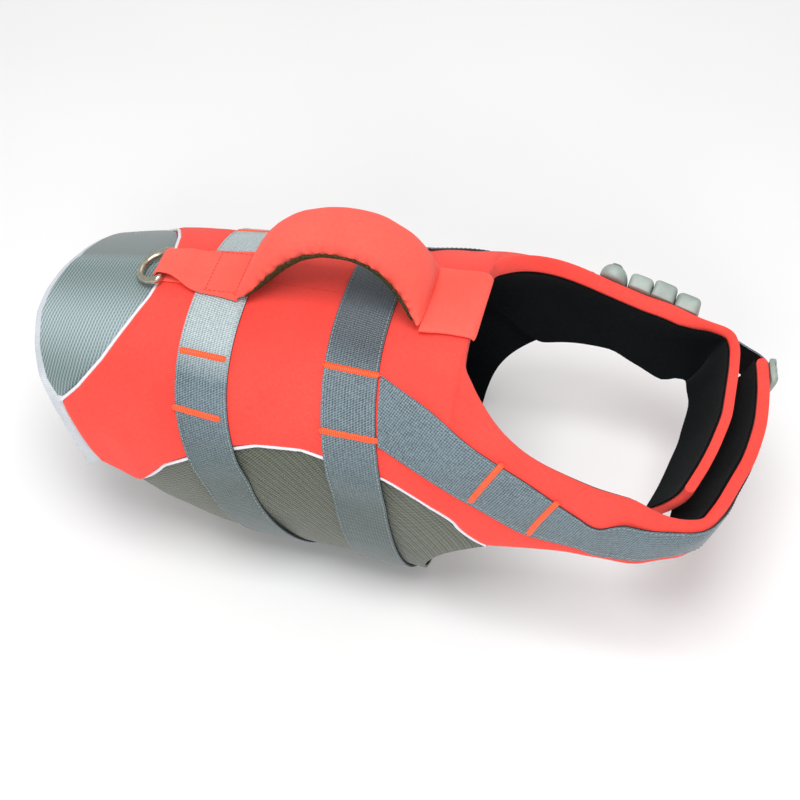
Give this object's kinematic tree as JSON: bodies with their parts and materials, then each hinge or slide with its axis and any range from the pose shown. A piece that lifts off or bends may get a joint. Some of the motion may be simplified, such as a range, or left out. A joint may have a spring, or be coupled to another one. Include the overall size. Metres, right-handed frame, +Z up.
{
  "type": "dog life jacket",
  "caption": "Foam life jacket for a dog, with a lifting handle, belly mesh, girth and chest webbing with side-release buckles, and a leash ring.",
  "frame": {"origin": "point on the inner face of the back, on the centre line, where the jacket rests on the wearer's back", "axes": "+X to the wearer's head, +Y to its left, +Z up"},
  "size_m": [0.5214, 0.2331, 0.285],
  "materials": {
    "coral_neoprene": "matte knitted face bonded to closed-cell foam",
    "black_lining": "matte warp-knit mesh",
    "grey_rump_mesh": "matte ribbed spacer mesh",
    "olive_belly_mesh": "matte knitted mesh",
    "white_piping": "satin woven tape and covered cord",
    "grey_webbing": "flat woven webbing, slight sheen",
    "grey_plastic": "moulded, fine texture",
    "nickel": "satin nickel plate"
  },
  "bodies": {
    "jacket": {"belly_panel": "olive_belly_mesh", "chest_buckle_female": "grey_plastic", "chest_buckle_male": "grey_plastic", "chest_keeper": "grey_plastic", "chest_slider": "grey_plastic", "chest_strap": "grey_webbing", "chest_webbing_left": "grey_webbing", "chest_webbing_right": "grey_webbing", "girth_front_buckle_female": "grey_plastic", "girth_front_buckle_male": "grey_plastic", "girth_front_webbing": "grey_webbing", "girth_rear_buckle_female": "grey_plastic", "girth_rear_buckle_male": "grey_plastic", "girth_rear_webbing": "grey_webbing", "handle_front_tab": "coral_neoprene", "handle_grip": "coral_neoprene", "handle_rear_tab": "coral_neoprene", "hem_binding": "white_piping", "lining_left": "black_lining", "lining_right": "black_lining", "piping_belly_left": "white_piping", "piping_belly_right": "white_piping", "piping_rump": "white_piping", "rump_panel": "grey_rump_mesh", "side_panel_left": "coral_neoprene", "side_panel_right": "coral_neoprene"},
    "d_ring": {"d_ring": "nickel"}
  },
  "joints": [
    {"name": "d_ring_hinge", "type": "hinge", "parent": "jacket", "child": "d_ring", "pos_m": [-0.1705, 0, 0.01098], "axis": [0, 1, 0], "range_deg": [0, 140]}
  ]
}
